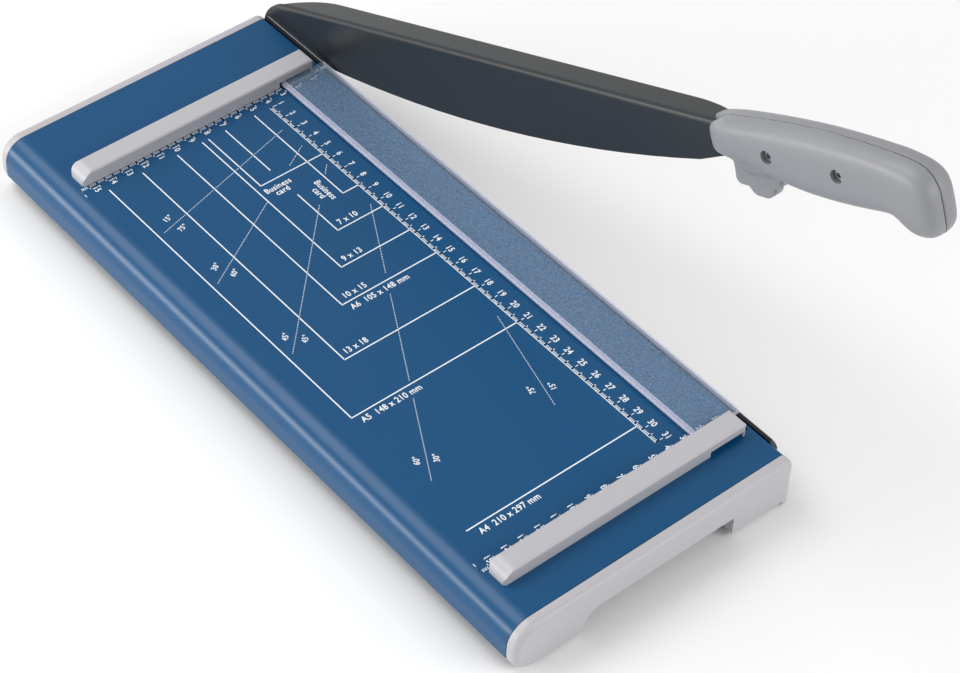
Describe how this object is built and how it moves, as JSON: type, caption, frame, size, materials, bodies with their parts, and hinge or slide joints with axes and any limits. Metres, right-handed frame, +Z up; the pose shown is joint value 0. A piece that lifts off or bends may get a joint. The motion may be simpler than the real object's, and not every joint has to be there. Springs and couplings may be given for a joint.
{
  "type": "lever paper trimmer",
  "caption": "Desk lever paper trimmer: blue bent-steel table on grey end caps, clear sprung finger guard, two fences and a curved blade arm with a grey handle on a rear pivot.",
  "frame": {"origin": "on the ground, under the middle of the whole object's box with its arm at the rest angle of 23.85 degrees", "axes": "+Z up; +Y along the cutting edge towards the arm's pivot; +X across the table towards the blade side"},
  "size_m": [0.1864, 0.4723, 0.2412],
  "materials": {
    "table_paint": "blue powder coat, satin",
    "grey_plastic": "light warm grey, fine matt grain",
    "handle_plastic": "light grey, fine matt grain",
    "black_plastic": "black, moulded",
    "foot_rubber": "dark grey rubber",
    "arm_coating": "dark grey coating, satin",
    "blade_steel": "dark oxidised steel with a ground top edge",
    "zinc_steel": "bright zinc",
    "spring_steel": "plain spring steel",
    "bearing_brass": "plain",
    "clear_acrylic": "clear acrylic with a finely frosted top"
  },
  "bodies": {
    "base": {"table_plate": "table_paint", "front_cap": "grey_plastic", "rear_cap": "grey_plastic", "cap_clinch_nuts": "zinc_steel", "cap_screws": "zinc_steel", "rubber_feet": "foot_rubber", "rear_fence": "grey_plastic", "front_fence": "grey_plastic", "fence_screws": "zinc_steel", "lower_blade": "blade_steel", "blade_screws": "zinc_steel", "blade_nuts": "zinc_steel", "pivot_bracket": "zinc_steel", "pivot_bolt": "zinc_steel", "pivot_washer": "zinc_steel", "pivot_nut": "zinc_steel", "disc_spring": "spring_steel", "guard_bushes": "black_plastic"},
    "guard": {"press_guard": "clear_acrylic", "guard_pins": "zinc_steel", "guard_clips": "spring_steel", "guard_springs": "spring_steel"},
    "arm": {"upper_blade": "arm_coating", "pivot_bush": "bearing_brass", "handle_left_shell": "handle_plastic", "handle_right_shell": "handle_plastic", "handle_screws": "zinc_steel"}
  },
  "joints": [
    {"name": "arm_hinge", "type": "hinge", "parent": "base", "child": "arm", "pos_m": [0.08, 0.20633, 0.0195], "axis": [-1, 0, 0], "range_deg": [-23, 36.15]},
    {"name": "guard_press", "type": "slide", "parent": "base", "child": "guard", "axis": [0, 0, -1], "range_m": [0, 0.0013], "stiffness_N_per_m": 800, "springref_m": -0.002, "deforming": ["guard_springs"]}
  ]
}
